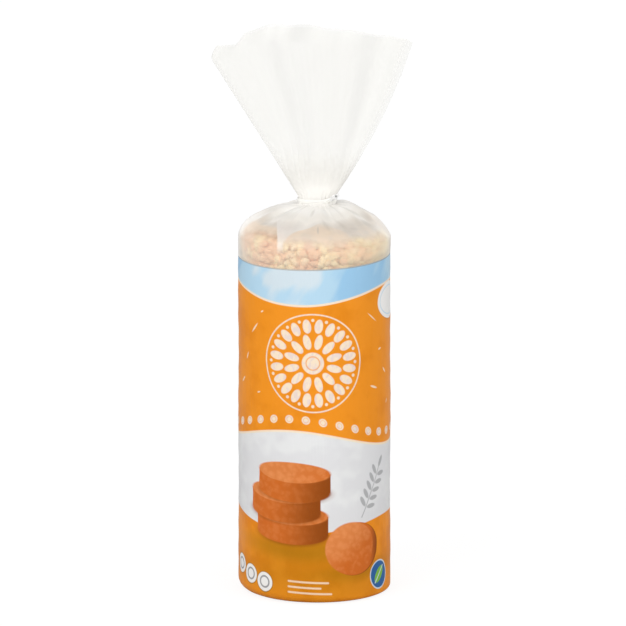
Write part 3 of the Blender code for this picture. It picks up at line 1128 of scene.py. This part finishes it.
def paint_sprig(tree, colour, place):
    """A small sprig of rice drawn in grey ink."""
    sprig = tree.turned(place, *SPRIG)
    along, out = tree.parts(sprig)
    pairs = tree.vector(tree.repeated(along, 5.6), abs(out))
    mark = tree.oval(pairs, (0.0, 3.9), (3.7, 1.45), 56, 0.25) * tree.within(abs(along - 14.0) - 14.0)
    mark = tree.most(mark, tree.bar(sprig, (11.0, 0.0), (36.0, 0.7), 0.3))
    mark = tree.most(mark, tree.oval(sprig, (32.0, 0.0), (3.8, 1.5)))
    return tree.blend(colour, SOFT_INK, mark * 0.7)


def crumb(tree, place):
    """The tone of a drawn cake's grains, 0 in a grain's middle and 1 between grains."""
    bent = tree.noise(tree.turned(place, (0, 0), 0, (4.0, 4.0)), 1.0, 2.0) * 5.0
    x, y = tree.parts(place)
    blurred = tree.node(
        "ShaderNodeTexVoronoi",
        {"voronoi_dimensions": "2D", "feature": "SMOOTH_F1"},
        {"Vector": tree.vector(x + bent, y - bent), "Scale": 0.25, "Smoothness": 0.6},
    )
    cloud = tree.noise(tree.turned(place, (7.0, 0), 0, (7.0, 5.0)), 1.0, 3.0)
    return tree.ramp(Value(tree, blurred.outputs["Distance"]) + cloud * 1.2, 0.55, 1.35)


def paint_lying_cake(tree, colour, place, across, foot, grains):
    """A cake seen from a little above: its side between two ovals, then its top."""
    x = tree.parts(place)[0]
    up = foot + LYING_TOP
    reach = LYING_RADII[0]
    side = tree.bar(place, (across, up - LYING_SIDE / 2), (reach * 2, LYING_SIDE), 0.4)
    side = tree.most(side, tree.oval(place, (across, up - LYING_SIDE), LYING_RADII))
    lit = tree.ramp(x, across + reach, across - reach * 0.5)
    rim = tree.coats(CARAMEL_DARK, (CARAMEL_SIDE, lit), (CARAMEL_TOP, (1 - grains) * lit * 0.25))
    shade = grains * 0.4 + tree.ramp(x, across - 16.0, across + 30.0) * 0.5
    top = tree.blend(CARAMEL_TOP, CARAMEL_SIDE, shade)
    return tree.coats(colour, (rim, side), (top, tree.oval(place, (across, up), LYING_RADII)))


def paint_cakes(tree, colour, place):
    """A stack of cakes in the middle, and one that stands beside it."""
    grains = crumb(tree, place)
    x, y = tree.parts(place)
    for *shadow, depth in CAKE_SHADOWS:
        colour = tree.blend(colour, SHADOW, tree.oval(place, *shadow) * depth)
    for across, foot in LYING_CAKES:
        contact = tree.oval(place, (across, foot + 0.2), (25.2, 7.4), 0, 1.5)
        colour = tree.blend(colour, CARAMEL_DARK, contact * 0.6)
        colour = paint_lying_cake(tree, colour, place, across, foot, grains)
    middle, tilt = STANDING_CAKE, STANDING_TILT
    rim = tree.blend(CARAMEL_DARK, CARAMEL_SIDE, tree.ramp(x, middle.x + 23.0, middle.x + 13.0))
    shade = tree.ramp(x - y * 1.3, -43.0, -3.0)
    face = tree.blend(CARAMEL_TOP, CARAMEL_SIDE, grains * 0.35 + shade * 0.75)
    return tree.coats(
        colour,
        (CARAMEL_DARK, tree.oval(place, middle + Vector((3.3, -0.8)), (19.2, 17.2), tilt)),
        (rim, tree.oval(place, middle + Vector((2.6, -0.6)), (19.0, 17.2), tilt)),
        (face, tree.oval(place, middle, (18.0, 17.0), tilt, 0.6)),
    )


def paint_foot(tree, colour, place):
    """Discs, a round badge and a few plain bars along the foot of the print."""
    for centre in DISCS:
        colour = tree.coats(
            colour,
            (SHADOW, tree.disc(place, centre, DISC_RADIUS + 0.6)),
            (WHITE, tree.disc(place, centre, DISC_RADIUS)),
            (SOFT_INK, tree.ring(place, centre, 3.6, 1.1)),
        )
    mark = 0.0
    for across, up, long in BARS:
        mark = tree.most(mark, tree.bar(place, (across, up), (long, 1.2), 0.5))
    return tree.coats(
        colour,
        (CREAM, mark * 0.8),
        (SKY_PALE, tree.disc(place, BADGE, BADGE_RADIUS + 0.8)),
        (BADGE_BLUE, tree.disc(place, BADGE, BADGE_RADIUS)),
        (BADGE_GREEN, tree.oval(place, BADGE, (6.4, 3.3), 48)),
        (SKY_PALE, tree.bar(place, BADGE, (14.5, 0.7), 0.3, 48)),
    )


def paint_back(tree, colour, place):
    """The back: a pale panel of plain bars on each side of the seam, and painted shade along the seam's edge.
    """
    x, y = tree.parts(place)
    behind = ROUND / 2 - abs(x)
    # painted shade: a thin dark line along the seam's overlapping edge
    edge = tree.within(abs(behind - SEAM_WIDTH * MM * 0.9) - 0.2, 0.3) * tree.ramp(x, -1.0, 1.0)
    place = tree.vector(behind, y)
    first, pitch = BACK_ROWS
    middle, half = BACK_ROWS_SPAN
    row = tree.within(abs(tree.repeated(y - first, pitch)) - 0.75, 0.3) * tree.within(abs(y - middle) - half)
    shortest, further = BACK_ROWS_END
    end = tree.cell(y - first, pitch) * further + shortest
    row = row * tree.within(behind - end) * tree.ramp(behind, BACK_ROWS_START, BACK_ROWS_START + 0.6)
    first, pitch = BACK_LINES
    line = tree.within(abs(tree.repeated(y - first, pitch)) - 0.35, 0.2)
    return tree.coats(
        colour,
        (CREAM, tree.bar(place, *BACK_PANEL, 5.0)),
        (DEEP_ORANGE, row * 0.75),
        (WHITE, tree.bar(place, BACK_LABEL, (36.0, 34.0), 1.5)),
        (SOFT_INK, line * tree.bar(place, BACK_LABEL, (32.0, 28.0), 0.5) * 0.7),
        (SHADOW, edge * 0.5),
    )


def printed_film_finish():
    """The print, satin, with fine creases in the film."""
    tree = Finish("printed film")
    place = tree.film_place()
    x, y = tree.parts(place)
    radius = FILM_RADIUS * MM
    edge = (PRINT_TOP - FLOOR) * MM + tree.maths("SINE", x / radius) * radius * math.tan(PRINT_LEAN)
    colour = paint_fields(tree, place)
    # painted shade: a thin dark line along the print's upper edge, for the shaded gap between film and cakes
    colour = tree.blend(colour, PRINT_EDGE_SHADE, tree.ramp(y - edge, -1.0, -0.3) * 0.6)
    for paint in (paint_rosette, paint_flecks, paint_back, paint_sprig, paint_cakes, paint_foot):
        colour = paint(tree, colour, place)
    for tag in TAGS:
        colour = paint_tag(tree, colour, place, *tag)
    tree.set(Base_Color=colour, Roughness=0.32, Specular_IOR_Level=0.12)
    creases = tree.solid_noise((7.0, 80.0), 0.0, 4.0, 0.6)
    tree.bump(creases + tree.solid_noise((20.0, 14.0), 0.4, 2.0) * 0.7, 0.5, 0.0006)
    return tree.material


def floor_finish():
    """White paper: bright to the eye, and grey to the light it throws back on the bag."""
    tree = Finish("floor")
    grey, shade, glow = (0.55, 0.55, 0.55), (0.16, 0.16, 0.16), 0.88
    tree.set(Base_Color=grey, Roughness=1.0, Specular_IOR_Level=0.0)
    paper = tree.node("ShaderNodeBsdfDiffuse", {}, {"Color": shade})
    light = tree.node("ShaderNodeEmission", {}, {"Strength": glow})
    white = tree.node("ShaderNodeAddShader", {}, {0: paper.outputs[0], 1: light.outputs[0]})
    tree.show("Material Output", tree.shader, white)
    return tree.material


# ---- camera, floor and light

LOOK_AT = Vector((-0.0009, 0.0, 0.1806))
CAMERA_DISTANCE = 10.0
CAMERA_ELEVATION = 13.4  # degrees, as the lights' angles are
VIEW_WIDTH = 0.4023
ROOM_LIGHT = 0.50
FLOOR_SIZE = 30.0
FLOOR_GAP = 0.0006  # under the bag
LIT_HEIGHT = 0.18  # what the lights point at
LIGHTS = (  # name, azimuth, elevation, distance, size and watts
    ("key", -42, 22, 1.6, (1.1, 1.3), 12.5),
    ("front", 10, 15, 1.8, (1.6, 1.2), 6.2),
    ("side", 64, 12, 1.8, (1.0, 1.2), 9.6),
    ("back", 156, 12, 2.0, (1.2, 1.2), 4.5),
    ("back left", -158, 14, 2.0, (1.2, 1.2), 4.0),
    ("top", 0, 78, 1.8, (1.2, 1.2), 3.0),
)


def aimed(name, data, target, azimuth, elevation, distance):
    """A camera or lamp that points at a target. azimuth is from the front, to the right."""
    turn, rise = math.radians(azimuth), math.radians(elevation)
    back = Vector((math.sin(turn) * math.cos(rise), -math.cos(turn) * math.cos(rise), math.sin(rise)))
    made = bpy.data.objects.new(name, data)
    bpy.context.collection.objects.link(made)
    made.location = target + back * distance
    made.rotation_euler = back.to_track_quat("Z", "Y").to_euler()
    return made


def set_camera():
    data = bpy.data.cameras.new("camera")
    data.sensor_width = 36.0
    data.lens = data.sensor_width * CAMERA_DISTANCE / VIEW_WIDTH
    data.clip_start = 0.1
    data.clip_end = 100.0
    bpy.context.scene.camera = aimed("camera", data, LOOK_AT, 0, CAMERA_ELEVATION, CAMERA_DISTANCE)


def add_light(name, azimuth, elevation, distance, size, watts):
    """A soft box that the camera doesn't see."""
    data = bpy.data.lights.new(name, "AREA")
    data.shape = "RECTANGLE"
    data.size, data.size_y = size
    data.energy = watts
    lamp = aimed(name, data, Vector((0, 0, FLOOR + LIT_HEIGHT)), azimuth, elevation, distance)
    lamp.visible_camera = False


def set_world():
    """A white room, dimmer to the bag than to the eye."""
    world = bpy.data.worlds.new("studio")
    bpy.context.scene.world = world
    world.use_nodes = True
    tree = Tree(world.node_tree)
    room = tree.nodes["Background"]
    tree.plug(room.inputs["Color"], (1.0, 1.0, 1.0))
    tree.plug(room.inputs["Strength"], ROOM_LIGHT)
    white = tree.node("ShaderNodeBackground", {}, {"Color": (1.0, 1.0, 1.0), "Strength": 1.0})
    tree.show("World Output", room, white)


def set_stage():
    """The floor, the room and the lights."""
    deselect()
    bpy.ops.mesh.primitive_plane_add(size=FLOOR_SIZE, location=(0, 0, FLOOR - FLOOR_GAP))
    floor = named("floor")
    settle(floor)
    floor.data.materials.append(floor_finish())
    set_world()
    for light in LIGHTS:
        add_light(*light)
    bpy.context.scene.view_settings.view_transform = "Standard"


def main():
    set_camera()
    set_stage()
    deselect()
    film = make_film()
    printed = cut_film(film)
    finish_piece(film, clear_film_finish(), "clear_film", "bag")
    finish_piece(printed, printed_film_finish(), "printed_film", "bag")
    kinds = make_grain_kinds()
    rice = rice_cake_finish()
    top = make_cake("rice_cake_top", STACK_TOP, kinds, CAKE_SEEDS[0])
    second = make_cake("rice_cake_second", STACK_TOP - CAKE_THICKNESS, kinds, CAKE_SEEDS[1])
    stack = make_stack(STACK_TOP - 2 * CAKE_THICKNESS)
    for cake in (top, second, stack):
        finish_piece(cake, rice, "rice_cake", "bag")
    finish_piece(make_tie(), tie_finish(), "tie_ribbon", "twist_tie")
    for item in list(kinds.objects):
        bpy.data.objects.remove(item)


main()
